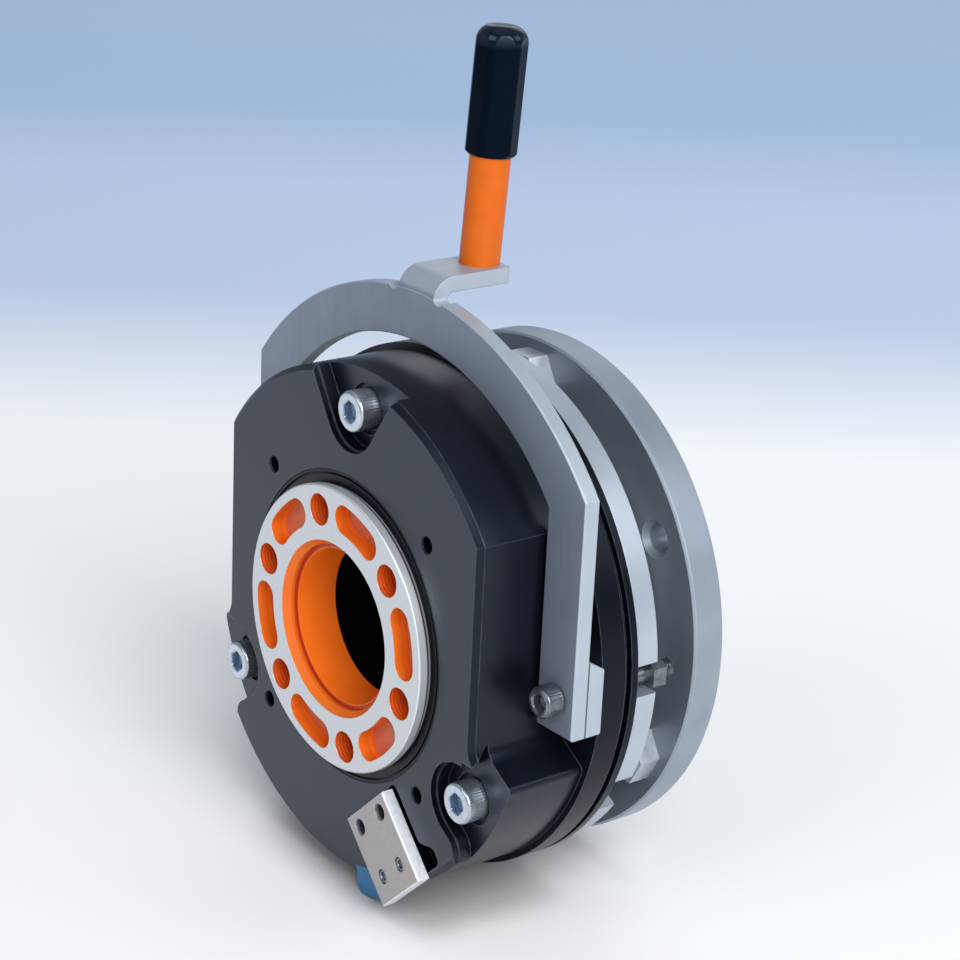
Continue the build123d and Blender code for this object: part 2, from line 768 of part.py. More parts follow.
# Release bow: one cut plate round the body, with a tab bent back at the top for the lever
with BuildPart() as release_bow:
    with BuildSketch(face_at(bow_rear)) as bow_sketch:
        with Locations((0, bow_centre_height)):
            Circle(bow_outer_radius)
        with Locations((0, bow_inner_height)):
            Circle(bow_inner_radius, mode=Mode.SUBTRACT)
        with Locations((0, bow_foot_height)):
            Rectangle(
                2 * bow_half_width,
                2 * bow_outer_radius,
                align=(Align.CENTER, Align.MIN),
                mode=Mode.INTERSECT,
            )
            for side in both_sides:
                with Locations((side * leg_centre, 0)):
                    leg_top = bow_inner_height - bow_foot_height + sqrt(
                        bow_inner_radius**2 - (bow_half_width - bow_leg_width) ** 2
                    )
                    Rectangle(bow_leg_width, leg_top, align=(Align.CENTER, Align.MIN))
    extrude(amount=bow_thickness)
    chamfer(edges().group_by(Axis.Y)[0], bow_edge)
    # The tab: a bend, then a flat shelf
    bend_height = tab_top_height - bow_thickness - tab_bend_radius
    bend_out = tab_bend_radius + bow_thickness
    bend_y = bow_rear + tab_bend_radius
    with BuildSketch(Plane.YZ.offset(-tab_half_width)):
        with BuildLine():
            Line((bow_front, tab_notch_bottom - bow_thickness), (bow_front, bend_height))
            ThreePointArc(
                (bow_front, bend_height),
                (bend_y - bend_out * sqrt(0.5), bend_height + bend_out * sqrt(0.5)),
                (bend_y, tab_top_height),
            )
            Line((bend_y, tab_top_height), (tab_end, tab_top_height))
            Line((tab_end, tab_top_height), (tab_end, tab_top_height - bow_thickness))
            Line(
                (tab_end, tab_top_height - bow_thickness),
                (bend_y, tab_top_height - bow_thickness),
            )
            ThreePointArc(
                (bend_y, tab_top_height - bow_thickness),
                (
                    bend_y - tab_bend_radius * sqrt(0.5),
                    bend_height + tab_bend_radius * sqrt(0.5),
                ),
                (bow_rear, bend_height),
            )
            Line((bow_rear, bend_height), (bow_rear, tab_notch_bottom - bow_thickness))
            Line(
                (bow_rear, tab_notch_bottom - bow_thickness),
                (bow_front, tab_notch_bottom - bow_thickness),
            )
        make_face()
    extrude(amount=2 * tab_half_width)
    fillet(edges().filter_by(Axis.Z).group_by(Axis.Y)[-1], tab_corner)
    # Bending reliefs beside the tab
    for side in both_sides:
        notch_x = side * (tab_half_width + tab_notch_radius)
        with BuildSketch(place_at(notch_x, bow_rear, tab_notch_bottom + tab_notch_radius)):
            Circle(tab_notch_radius)
            Rectangle(
                2 * tab_notch_radius, 3 * tab_notch_radius, align=(Align.CENTER, Align.MIN)
            )
        extrude(amount=bow_thickness, mode=Mode.SUBTRACT)
        with BuildSketch(place_at(side * leg_centre, bow_rear, 0)):
            Circle(release_screw_radius + release_clearance)
        extrude(amount=bow_thickness, mode=Mode.SUBTRACT)
    with BuildSketch(Plane.XY.offset(tab_top_height)):
        with Locations((0, rod_place)):
            Circle(rod_stud_radius + rod_stud_clearance)
    extrude(amount=-bow_thickness, mode=Mode.SUBTRACT)
release_bow.part.label = "release_bow"


def fulcrum_block(side):
    """The block behind one foot of the bow; its lower rear edge is the fulcrum."""
    block_rear = rim_front - block_clearance
    inner = min(side * bow_half_width, side * (bow_half_width - bow_leg_width))
    with BuildPart() as block:
        with BuildSketch(Plane.YZ.offset(inner)):
            with BuildLine():
                Polyline(
                    (bow_rear, bow_foot_height),
                    (block_rear, bow_foot_height),
                    (block_rear, block_top_rear),
                    (bow_rear, block_top_front),
                    close=True,
                )
            make_face()
        extrude(amount=bow_leg_width)
        chamfer(edges().filter_by(Axis.X).group_by(Axis.Y)[-1], bow_edge)
        with BuildSketch(place_at(side * leg_centre, block_rear, 0)):
            Circle(release_screw_radius + release_clearance)
        extrude(amount=block_rear - bow_rear, mode=Mode.SUBTRACT)
    return block


fulcrum_block_left = fulcrum_block(-1)
fulcrum_block_left.part.label = "fulcrum_block_left"

fulcrum_block_right = fulcrum_block(1)
fulcrum_block_right.part.label = "fulcrum_block_right"

# Release screws, their nuts behind the armature plate and the springs that steady the bow
release_spots = [(side * leg_centre, 0) for side in both_sides]
release_screws = socket_screws(
    release_spots,
    bow_front - release_head_play,
    release_screw_radius,
    release_screw_length,
    release_head_radius,
    release_head_height,
    release_socket_flats,
    release_socket_depth,
)
release_screws.part.label = "release_screws"

with BuildPart() as release_nuts:
    with BuildSketch(face_at(armature_rear + release_nut_height)):
        with Locations(*release_spots):
            RegularPolygon(release_nut_flats / 2, 6, major_radius=False, rotation=release_nut_turn)
            Circle(release_screw_radius + thread_clearance, mode=Mode.SUBTRACT)
    extrude(amount=release_nut_height)
release_nuts.part.label = "release_nuts"

release_springs = compression_springs(
    release_spots,
    rim_front - block_clearance,
    rim_front + release_spring_seat,
    release_spring_radius,
    release_spring_wire,
    release_spring_turns,
)
release_springs.part.label = "release_springs"

# Lever rod: leans back a little, with a stud through the tab
lean = radians(rod_lean)
rod_axis = (0, sin(lean), cos(lean))
rod_plane = Plane(origin=(0, rod_place, tab_top_height), x_dir=(1, 0, 0), z_dir=rod_axis)
rod_overlap = rod_radius * tan(lean)
with BuildPart() as lever_rod:
    with BuildSketch(rod_plane.offset(-rod_overlap)):
        Circle(rod_radius)
    extrude(amount=rod_length + rod_overlap)
    split(bisect_by=Plane.XY.offset(tab_top_height), keep=Keep.TOP)
    with BuildSketch(Plane.XY.offset(tab_top_height - bow_thickness)):
        with Locations((0, rod_place)):
            Circle(rod_stud_radius)
    extrude(amount=bow_thickness)
lever_rod.part.label = "lever_rod"

# Lever grip: a moulded knob with six flats on a round body
with BuildPart() as lever_grip:
    with BuildSketch(rod_plane.offset(grip_start)):
        Circle(grip_radius)
    extrude(amount=grip_length)
    fillet(edges().group_by(Axis.Z)[-1], grip_top_radius)
    chamfer(edges().group_by(Axis.Z)[0], grip_foot_chamfer)
    with BuildSketch(rod_plane.offset(grip_start)):
        RegularPolygon(grip_flats / 2, 6, major_radius=False)
    extrude(amount=grip_length, mode=Mode.INTERSECT)
    with BuildSketch(rod_plane.offset(grip_start)):
        Circle(rod_radius + grip_bore_clearance)
    extrude(amount=rod_length - grip_start, mode=Mode.SUBTRACT)
lever_grip.part.label = "lever_grip"

# Cable clamp plate on the front face
with BuildPart() as cable_clamp_plate:
    with BuildSketch(clamp_plane):
        Rectangle(clamp_length, clamp_width)
        with Locations(
            (-clamp_hole_offset, -clamp_hole_half), (-clamp_hole_offset, clamp_hole_half)
        ):
            Circle(clamp_hole_radius, mode=Mode.SUBTRACT)
        with Locations(
            (clamp_screw_offset, -clamp_screw_half), (clamp_screw_offset, clamp_screw_half)
        ):
            Circle(clamp_screw_radius + thread_clearance, mode=Mode.SUBTRACT)
    extrude(amount=clamp_thickness)
    chamfer(faces().sort_by(Axis.Y)[0].outer_wire().edges(), clamp_edge)
    with BuildSketch(clamp_plane.offset(clamp_thickness)):
        with Locations(
            (clamp_screw_offset, -clamp_screw_half), (clamp_screw_offset, clamp_screw_half)
        ):
            Circle(clamp_screw_head_radius + clamp_sink_clearance)
    extrude(amount=-clamp_sink_depth, mode=Mode.SUBTRACT)
cable_clamp_plate.part.label = "cable_clamp_plate"

with BuildPart() as clamp_screws:
    clamp_seat = clamp_plane.offset(clamp_thickness - clamp_sink_depth)
    clamp_spots = ((clamp_screw_offset, -clamp_screw_half), (clamp_screw_offset, clamp_screw_half))
    with BuildSketch(clamp_seat):
        with Locations(*clamp_spots):
            Circle(clamp_screw_head_radius)
    extrude(amount=clamp_screw_head_height)
    chamfer(edges().group_by(Axis.Y)[0], clamp_screw_head_edge)
    with BuildSketch(clamp_seat):
        with Locations(*clamp_spots):
            Circle(clamp_screw_radius)
    extrude(amount=-clamp_screw_length)
clamp_screws.part.label = "clamp_screws"

# Lead grommet: rubber, in the notch under the clamp plate
with BuildPart() as lead_grommet:
    with BuildSketch(face_at(body_front + grommet_depth, grommet_angle - 90.0)) as grommet:
        with Locations((0, grommet_inner + grommet_fit)):
            Rectangle(
                2 * grommet_half_width,
                grommet_outer - grommet_inner,
                align=(Align.CENTER, Align.MIN),
            )
        fillet(grommet.vertices().group_by(Axis.Y)[-1], grommet_corner)
    extrude(amount=grommet_depth)
lead_grommet.part.label = "lead_grommet"

# Front seal: a ribbed rubber ring on the step of the body, round the hub's flange
with BuildPart() as front_seal_ring:
    with BuildSketch(face_at(body_front + seal_recess_depth)):
        Circle(seal_recess_radius - seal_fit)
        Circle(seal_inner_radius, mode=Mode.SUBTRACT)
    extrude(amount=seal_thickness)
    with BuildSketch(face_at(body_front + seal_recess_depth - seal_thickness)):
        for inset in seal_groove_insets:
            groove_radius = seal_inner_radius + inset
            Circle(groove_radius + seal_groove_width / 2)
            Circle(groove_radius - seal_groove_width / 2, mode=Mode.SUBTRACT)
    extrude(amount=-seal_groove_depth, mode=Mode.SUBTRACT)
front_seal_ring.part.label = "front_seal_ring"

all_parts = (
    magnet_body,
    coil_bobbin,
    coil_winding,
    brake_springs,
    armature_plate,
    flanged_hub,
    damper_ring,
    rotor_carrier,
    front_lining,
    rear_lining,
    mounting_flange,
    guide_sleeves,
    mounting_screws,
    release_bow,
    fulcrum_block_left,
    fulcrum_block_right,
    release_screws,
    release_nuts,
    release_springs,
    lever_rod,
    lever_grip,
    cable_clamp_plate,
    clamp_screws,
    lead_grommet,
    front_seal_ring,
)
os.makedirs("parts", exist_ok=True)
for item in all_parts:
    export_step(item.part, f"parts/{item.part.label}.step")
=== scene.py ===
from math import cos, pi, radians, sin, tau

import bmesh
import bpy
from mathutils import Matrix, Vector

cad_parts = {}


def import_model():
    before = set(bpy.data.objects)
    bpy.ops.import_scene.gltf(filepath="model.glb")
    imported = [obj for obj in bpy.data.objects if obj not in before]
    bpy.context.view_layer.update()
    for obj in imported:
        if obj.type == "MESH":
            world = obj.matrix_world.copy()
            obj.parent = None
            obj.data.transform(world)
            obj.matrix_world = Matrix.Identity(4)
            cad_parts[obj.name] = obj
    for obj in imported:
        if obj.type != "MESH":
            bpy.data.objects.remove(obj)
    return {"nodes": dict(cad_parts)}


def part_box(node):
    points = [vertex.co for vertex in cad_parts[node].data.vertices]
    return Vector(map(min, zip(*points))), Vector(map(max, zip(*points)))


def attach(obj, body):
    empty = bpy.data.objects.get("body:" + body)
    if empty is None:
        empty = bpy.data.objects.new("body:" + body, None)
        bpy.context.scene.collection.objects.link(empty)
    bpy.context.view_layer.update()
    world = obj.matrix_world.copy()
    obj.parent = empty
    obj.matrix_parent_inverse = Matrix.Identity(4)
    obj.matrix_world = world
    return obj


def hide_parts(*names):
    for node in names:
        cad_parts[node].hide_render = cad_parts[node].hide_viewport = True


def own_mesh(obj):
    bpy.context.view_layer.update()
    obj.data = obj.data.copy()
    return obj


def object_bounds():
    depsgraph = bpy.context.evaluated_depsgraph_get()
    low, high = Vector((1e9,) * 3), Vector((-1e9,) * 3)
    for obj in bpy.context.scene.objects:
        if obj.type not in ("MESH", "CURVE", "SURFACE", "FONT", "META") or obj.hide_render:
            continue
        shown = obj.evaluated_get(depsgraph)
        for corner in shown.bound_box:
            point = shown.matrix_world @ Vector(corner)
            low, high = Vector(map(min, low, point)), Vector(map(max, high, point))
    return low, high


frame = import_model()
cad_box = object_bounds()
mm = 0.001

# The view. The brake stands on its rim and is seen from its front right and
# a little from above, with a long lens, so the round body looks nearly true.
eye = Vector((0.5919, -0.5017, 0.3125))
view_turn, view_rise, view_roll = radians(51.626), radians(19.908), radians(2.779)
back = Vector((sin(view_turn) * cos(view_rise), -cos(view_turn) * cos(view_rise), sin(view_rise)))
level = Vector((0, 0, 1)).cross(back).normalized()
upward = back.cross(level)
right = level * cos(view_roll) + upward * sin(view_roll)
up = upward * cos(view_roll) - level * sin(view_roll)

lens = bpy.data.cameras.new("studio_camera")
lens.lens = 94.56
lens.sensor_width = 36.0
lens.clip_start, lens.clip_end = 0.05, 40.0
camera = bpy.data.objects.new("studio_camera", lens)
camera.matrix_world = Matrix.Translation(eye) @ Matrix((right, up, back)).transposed().to_4x4()
bpy.context.scene.collection.objects.link(camera)
bpy.context.scene.camera = camera
bpy.context.scene.view_settings.view_transform = "Standard"


# The studio floor: a wide pale sheet, white round the brake and light blue far
# behind it, with a painted contact shadow close to the rim. It is stage, not part of the brake.
def finish(name):
    """A new material with its node tree and its main shader."""
    material = bpy.data.materials.new(name)
    material.use_nodes = True
    return material, material.node_tree, material.node_tree.nodes["Principled BSDF"]


def fill(tree, node, **values):
    """Gives a node's inputs their values; an input given a socket is linked to it."""
    for key, value in values.items():
        numbered = key[0] == "i" and key[1:].isdigit()
        plug = node.inputs[int(key[1:])] if numbered else node.inputs[key.replace("_", " ")]
        if isinstance(value, bpy.types.NodeSocket):
            tree.links.new(value, plug)
        else:
            plug.default_value = value


def add(tree, kind, settings=None, **values):
    """A new node with its settings and the values of its inputs."""
    node = tree.nodes.new(kind)
    for key, value in (settings or {}).items():
        setattr(node, key, value)
    fill(tree, node, **values)
    return node


def spread(tree, value, low, high, new_low, new_high):
    """Maps one range of a value onto another, held at both ends."""
    return add(tree, "ShaderNodeMapRange", i0=value, i1=low, i2=high, i3=new_low, i4=new_high).outputs[0]


def shades(tree, value, *stops):
    """A run of colours along a value; each stop is (place, (r, g, b))."""
    ramp = add(tree, "ShaderNodeValToRGB", Fac=value)
    band = ramp.color_ramp
    while len(band.elements) < len(stops):
        band.elements.new(0.5)
    for element, (place, colour) in zip(band.elements, stops):
        element.position = place
        element.color = (*colour, 1.0)
    return ramp.outputs[0]


def scaled(tree, colour, factor):
    """A colour made darker or lighter by a factor."""
    return add(tree, "ShaderNodeVectorMath", {"operation": "SCALE"}, i0=colour, Scale=factor).outputs[0]


def dot(tree, first, second):
    """How far one direction goes along another."""
    settings = {"operation": "DOT_PRODUCT"}
    return add(tree, "ShaderNodeVectorMath", settings, i0=first, i1=second).outputs["Value"]


def spot(tree):
    """Where a spot of the surface is in the brake's own frame."""
    return add(tree, "ShaderNodeTexCoord").outputs["Object"]


def openness(tree, reach, samples, alone=False):
    """1 in the open, less in hollows narrower than the reach; alone leaves the other pieces out."""
    settings = {"samples": samples, "only_local": alone}
    return add(tree, "ShaderNodeAmbientOcclusion", settings, Distance=reach).outputs["AO"]


def link_up(mesh_builder, name):
    """Turns a bmesh into an object in the scene."""
    mesh = bpy.data.meshes.new(name)
    mesh_builder.to_mesh(mesh)
    mesh_builder.free()
    obj = bpy.data.objects.new(name, mesh)
    bpy.context.scene.collection.objects.link(obj)
    return obj


floor_radius, floor_height = 12.0, cad_box[0].z
floor_builder = bmesh.new()
bmesh.ops.create_circle(floor_builder, cap_ends=True, segments=96, radius=floor_radius)
bmesh.ops.translate(floor_builder, verts=floor_builder.verts, vec=(0, 0, floor_height))
floor = link_up(floor_builder, "studio_floor")

floor_finish, tree, shader = finish("pale_floor")
away = (-sin(view_turn), cos(view_turn), 0.0)
tint_reach, contact_reach = 2.0, 22 * mm
tint = shades(
    tree,
    spread(tree, dot(tree, spot(tree), away), 0.0, tint_reach, 0.0, 1.0),
    (0.0, (0.92, 0.905, 0.895)),
    (0.19, (0.97, 0.96, 0.945)),
    (0.26, (0.72, 0.765, 0.86)),
    (0.31, (0.56, 0.65, 0.82)),
    (0.45, (0.57, 0.67, 0.86)),
    (0.58, (0.44, 0.59, 0.81)),
    (0.80, (0.48, 0.62, 0.84)),
)
# Painted contact shadow: the floor's colour is darkened where the brake is near.
painted_contact_shadow = spread(tree, openness(tree, contact_reach, 8), 0.45, 0.85, 0.52, 1.0)
fill(tree, shader, Base_Color=scaled(tree, tint, painted_contact_shadow), Roughness=0.6, Specular_IOR_Level=0.2)
floor.data.materials.append(floor_finish)

# The lights: a broad lamp to the right makes the white floor, a small one
# lights the front, three weak ones the top, the back and the far side, and
# the pale blue room fills the rest.
room = bpy.data.worlds.new("pale_room")
room.use_nodes = True
bpy.context.scene.world = room
fill(room.node_tree, room.node_tree.nodes["Background"], Color=(0.76, 0.86, 0.98, 1.0), Strength=0.38)
brake_middle = Vector((0.0, -0.04, 0.02))


def softbox(name, place, width, height, power):
    """A rectangular lamp at a place, turned towards the middle of the brake."""
    lamp = bpy.data.lights.new(name, "AREA")
    lamp.shape = "RECTANGLE"
    lamp.size, lamp.size_y = width, height
    lamp.energy = power
    lamp.color = (0.98, 0.99, 1.0)
    obj = bpy.data.objects.new(name, lamp)
    obj.location = place
    obj.rotation_euler = (Vector(place) - brake_middle).to_track_quat("Z", "Y").to_euler()
    bpy.context.scene.collection.objects.link(obj)


softbox("main_lamp", place=(3.1, -0.9, 2.1), width=2.6, height=2.6, power=158.0)
softbox("front_lamp", place=(0.2, -3.2, 2.0), width=2.0, height=1.6, power=27.0)
softbox("top_lamp", place=(0.1, 0.0, 3.5), width=3.0, height=3.0, power=7.0)
softbox("back_lamp", place=(-2.1, 2.4, 1.8), width=3.0, height=2.0, power=14.0)
softbox("side_lamp", place=(2.2, 2.1, 1.9), width=1.6, height=1.5, power=15.0)


# Magnet body: turned from solid steel, with two milled sides and three milled
# screw pockets. It is blackened and lightly oiled, so that it is dark with a
# soft sheen and rubbed bare in spots along its edges; the bare edges also give a
# light line that is a painted highlight. Its reflection is painted stronger on
# the faces square to the axis than on the sides, and painted weaker in its
# pockets and on its rear rim as painted shade.
def maths(tree, operation, *values):
    """One figure worked out from others, such as a sum or a sine."""
    numbered = {f"i{count}": value for count, value in enumerate(values)}
    return add(tree, "ShaderNodeMath", {"operation": operation}, **numbered).outputs[0]


def product(tree, first, *others):
    """Several values multiplied."""
    for other in others:
        first = maths(tree, "MULTIPLY", first, other)
    return first


def mix(tree, factor, first, second):
    """The first colour where the factor is 0, the second where it is 1."""
    return add(tree, "ShaderNodeMix", {"data_type": "RGBA"}, i0=factor, i6=first, i7=second).outputs[2]


def beyond(tree, value, start, width):
    """0 up to the start, rising to 1 over the width past it."""
    return spread(tree, value, start, start + width, 0.0, 1.0)


def before(tree, value, start, width):
    """1 up to the start, falling to 0 over the width past it."""
    return spread(tree, value, start, start + width, 1.0, 0.0)


def cloud(tree, scale, detail=4.0, stretch=None):
    """Soft irregular blotches, optionally drawn out along an axis."""
    place = spot(tree)
    if stretch:
        place = add(tree, "ShaderNodeVectorMath", {"operation": "MULTIPLY"}, i0=place, i1=stretch).outputs[0]
    return add(tree, "ShaderNodeTexNoise", Vector=place, Scale=scale, Detail=detail, Roughness=0.6).outputs[0]


def toned(tree, pattern, dark, light):
    """A colour that follows a pattern from a dark tone to a light one."""
    return shades(tree, pattern, (0.3, dark), (0.7, light))


def between(tree, pattern, first, last):
    """A number that follows a pattern from one value to another."""
    return spread(tree, pattern, 0.3, 0.7, first, last)


def bumped(tree, height, strength, depth, **under):
    """The surface direction raised and sunk by a height, on top of the one under it."""
    return add(tree, "ShaderNodeBump", Strength=strength, Distance=depth, Height=height, **under).outputs[0]


def softened(tree, radius):
    """The surface direction with its sharp edges rounded off."""
    return add(tree, "ShaderNodeBevel", {"samples": 4}, Radius=radius).outputs[0]


def bevelled(tree, radius, height, strength, depth):
    """The surface direction with its sharp edges rounded off, and a bump on top."""
    return bumped(tree, height, strength, depth, Normal=softened(tree, radius))


def rubbed(tree, radius, spot_scale, least, most):
    """How much an edge is rubbed bare, from least to most in spots along it; 0 off the edges."""
    true = add(tree, "ShaderNodeNewGeometry").outputs["Normal"]
    edge = before(tree, dot(tree, softened(tree, radius), true), 0.86, 0.13)
    return product(tree, edge, spread(tree, cloud(tree, spot_scale), 0.35, 0.65, least, most))


def faced(tree):
    """1 on the faces square to the brake's axis, 0 on its sides."""
    normal = add(tree, "ShaderNodeNewGeometry").outputs["Normal"]
    along_axis = add(tree, "ShaderNodeSeparateXYZ", Vector=normal).outputs[1]
    return beyond(tree, maths(tree, "ABSOLUTE", along_axis), 0.90, 0.07)


def axes(tree):
    """A spot's x, y and z, with y along the brake's axis."""
    return add(tree, "ShaderNodeSeparateXYZ", Vector=spot(tree)).outputs


crease = radians(32.0)


def dress(node_name, material):
    """Gives a part of the frame its finish and smooth shading between sharp edges."""
    obj = frame["nodes"][node_name]
    for holder in obj.material_slots:
        holder.material = material
    for face in obj.data.polygons:
        face.use_smooth = True
    obj.data.set_sharp_from_angle(angle=crease)


rear_rim_start, pocket_reach = -50.6 * mm, 14 * mm
black_body, tree, shader = finish("blackened_steel")
grain = cloud(tree, 1400.0)
patches = cloud(tree, 24.0, 3.0)
dark = toned(tree, patches, (0.0022, 0.0030, 0.0060), (0.0028, 0.0036, 0.0070))
# Edges rubbed bare in spots; this lighter line is also a painted highlight.
bare = rubbed(tree, 0.5 * mm, 260.0, 0.3, 1.0)
# Painted reflection: stronger on faces square to the axis, weaker on the sides, with painted shade in the
# pockets and on the rear rim.
sheen = spread(tree, faced(tree), 0.0, 1.0, 0.31, 0.67)
hollow = spread(tree, openness(tree, pocket_reach, 6, alone=True), 0.45, 0.85, 0.30, 1.0)
rear_rim = spread(tree, axes(tree)[1], rear_rim_start, rear_rim_start + 0.4 * mm, 1.0, 0.45)
fill(
    tree,
    shader,
    Base_Color=mix(tree, bare, dark, (0.10, 0.115, 0.14, 1.0)),
    Roughness=between(tree, patches, 0.26, 0.33),
    Specular_Tint=(0.66, 0.79, 1.0, 1.0),
    Specular_IOR_Level=product(tree, sheen, hollow, rear_rim),
    IOR=1.55,
    Normal=bevelled(tree, 0.4 * mm, grain, 0.08, 0.05 * mm),
)
dress("magnet_body", black_body)


# Coil bobbin and winding: glass-filled plastic with enamelled copper wire,
# pressed into the slot behind the magnet body.
def mottled(name, scale, dark, light, smooth, rough, detail=4.0):
    """A material whose colour and roughness waver in soft blotches, which it gives back too."""
    material, tree, shader = finish(name)
    blotches = cloud(tree, scale, detail)
    colour = toned(tree, blotches, dark, light)
    fill(tree, shader, Base_Color=colour, Roughness=between(tree, blotches, smooth, rough))
    return material, tree, shader, blotches


bobbin_plastic, tree, shader, speckle = mottled(
    "bobbin_plastic", 600.0, (0.42, 0.38, 0.28), (0.55, 0.5, 0.38), smooth=0.5, rough=0.65
)
fill(tree, shader, Normal=bevelled(tree, 0.2 * mm, speckle, 0.1, 0.05 * mm))
dress("coil_bobbin", bobbin_plastic)

copper, tree, shader = finish("enamelled_copper")
turns = add(tree, "ShaderNodeTexWave", {"bands_direction": "Y"}, Scale=300.0, Distortion=0.5).outputs[1]
fill(
    tree,
    shader,
    Base_Color=shades(tree, turns, (0.0, (0.20, 0.06, 0.02)), (1.0, (0.62, 0.24, 0.10))),
    Metallic=0.6,
    Roughness=spread(tree, turns, 0.0, 1.0, 0.45, 0.25),
    Normal=bumped(tree, turns, 0.6, 0.3 * mm),
)
dress("coil_winding", copper)

# Springs: coiled from oiled spring wire and held by their seats alone, eight
# brake springs in the body's bores and one spring round each release screw.
spring_wire, tree, shader, drawn = mottled(
    "spring_wire", 500.0, (0.30, 0.30, 0.31), (0.46, 0.46, 0.47), smooth=0.25, rough=0.4
)
fill(tree, shader, Metallic=1.0, Normal=bumped(tree, drawn, 0.1, 0.03 * mm))
dress("brake_springs", spring_wire)
dress("release_springs", spring_wire)

# The brake springs get an object and mesh of their own, which rides with the
# housing, in place of the frame's solid springs.
solid_springs = frame["nodes"]["brake_springs"]
live_springs = bpy.data.objects.new("brake_spring_coils", solid_springs.data.copy())
live_springs.matrix_world = solid_springs.matrix_world
bpy.context.scene.collection.objects.link(live_springs)
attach(live_springs, "housing")
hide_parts("brake_springs")
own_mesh(live_springs)


# Armature plate and mounting flange: turned steel with fine tool marks, bright
# on the plate's rim, greyer on the flange, with painted shade in holes and
# notches and on the flange's faces. The plate slides on the sleeves, and the
# flange is screwed to the machine.
def axis_distance(tree, place):
    """How far a place, given as its x, y and z, is from the brake's axis."""
    flat = add(tree, "ShaderNodeCombineXYZ", X=place[0], Y=place[2]).outputs[0]
    return add(tree, "ShaderNodeVectorMath", {"operation": "LENGTH"}, i0=flat).outputs["Value"]


def tool_marks(tree, run, scale):
    """The fine rings that a lathe leaves, one after another along a run."""
    line = add(tree, "ShaderNodeCombineXYZ", X=run).outputs[0]
    return add(tree, "ShaderNodeTexNoise", Vector=line, Scale=scale, Detail=3.0, Roughness=0.7).outputs[0]


def turned_steel(name, dark, light, smooth, rough, face_shade=1.0):
    """Bare metal with lathe marks round the brake's axis and painted shade in its hollows; the face factor
    paints shade on its faces.
    """
    material, tree, shader = finish(name)
    place = axes(tree)
    tool = tool_marks(tree, maths(tree, "ADD", axis_distance(tree, place), place[1]), 900.0)
    tone = toned(tree, cloud(tree, 30.0, 3.0), dark, light)
    # Painted shade: faces square to the axis darkened by the face factor, and hollows within reach darkened.
    painted_face_shade = spread(tree, faced(tree), 0.0, 1.0, 1.0, face_shade)
    painted_hollow_shade = spread(tree, openness(tree, 5 * mm, 8, alone=True), 0.25, 0.60, 0.25, 1.0)
    tone = scaled(tree, tone, product(tree, painted_face_shade, painted_hollow_shade))
    worn = rubbed(tree, 0.35 * mm, 220.0, 0.15, 0.6)
    fill(
        tree,
        shader,
        Base_Color=mix(tree, worn, tone, (0.66, 0.71, 0.78, 1.0)),
        Metallic=0.6,
        Roughness=between(tree, tool, smooth, rough),
        Normal=bevelled(tree, 0.3 * mm, tool, 0.10, 0.06 * mm),
    )
    return material


armature_steel = turned_steel(
    "armature_steel", (0.39, 0.43, 0.50), (0.45, 0.50, 0.57), smooth=0.34, rough=0.46
)
dress("armature_plate", armature_steel)
# The flange's faces get painted shade.
flange_steel = turned_steel(
    "flange_steel", (0.26, 0.30, 0.36), (0.33, 0.37, 0.43), smooth=0.38, rough=0.50, face_shade=0.66
)
dress("mounting_flange", flange_steel)

# Guide sleeves: turned steel tubes with a hexagon collar, screwed into the
# body, so that turning them sets the air gap.
sleeve_steel, tree, shader, scuffs = mottled(
    "sleeve_steel", 260.0, (0.40, 0.43, 0.48), (0.52, 0.55, 0.60), smooth=0.30, rough=0.44
)
fill(tree, shader, Metallic=0.6, Normal=bevelled(tree, 0.4 * mm, scuffs, 0.06, 0.05 * mm))
dress("guide_sleeves", sleeve_steel)

# Flanged hub: steel, painted orange and then faced, so that its front ring
# and rim are bare while the bore, holes and kidney pockets keep the paint.
# It turns in the body's bore and carries the rotor on its spline.
hub_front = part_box("flanged_hub")[0].y
rim_radius, flank_radius = 45.5 * mm, 44.0 * mm
pocket_inside, pocket_floor = 31.0 * mm, 5.45 * mm
step_depth, step_inside, step_outside = 3.2 * mm, 25.1 * mm, 27.0 * mm
seat_end, rear_end = 18.3 * mm, 46.0 * mm
kidney_angle, kidney_count = radians(73.0), 6.0
thread_pitch, border = 1.2 * mm, 0.1 * mm
hub_finish, tree, shader = finish("orange_hub")
place = axes(tree)
radius = axis_distance(tree, place)
depth = maths(tree, "SUBTRACT", place[1], hub_front)

# Bare metal: the front ring's face and the rim round it.
face = before(tree, depth, border / 2, border)
bare = maths(tree, "MAXIMUM", face, beyond(tree, radius, rim_radius, border))
tool = tool_marks(tree, radius, 1500.0)
metal = toned(tree, tool, (0.62, 0.64, 0.67), (0.72, 0.74, 0.77))

# The bore: painted black shade behind its first seat, without reflection, and plain steel at its rear end.
rear = beyond(tree, depth, rear_end, 1.0 * mm)
behind = maths(tree, "SUBTRACT", beyond(tree, depth, seat_end, 0.3 * mm), rear)

# The ring of pockets: six kidneys with a paler, pinker floor, and between them
# six tapped holes with darker paint and the rings of their threads.
outside_bore = beyond(tree, radius, pocket_inside, border)
inside_flank = before(tree, radius, flank_radius, border)
angle = maths(tree, "ARCTAN2", place[2], place[0])
sixfold = maths(tree, "MULTIPLY_ADD", angle, kidney_count, -kidney_count * kidney_angle)
kidney = beyond(tree, maths(tree, "COSINE", sixfold), -0.65, 0.1)
paler_kidney_floor = product(tree, beyond(tree, depth, pocket_floor, border), kidney, outside_bore)
in_hole = product(tree, outside_bore, maths(tree, "SUBTRACT", 1.0, kidney), inside_flank)
thread = product(tree, maths(tree, "SINE", product(tree, place[1], tau / thread_pitch)), in_hole)

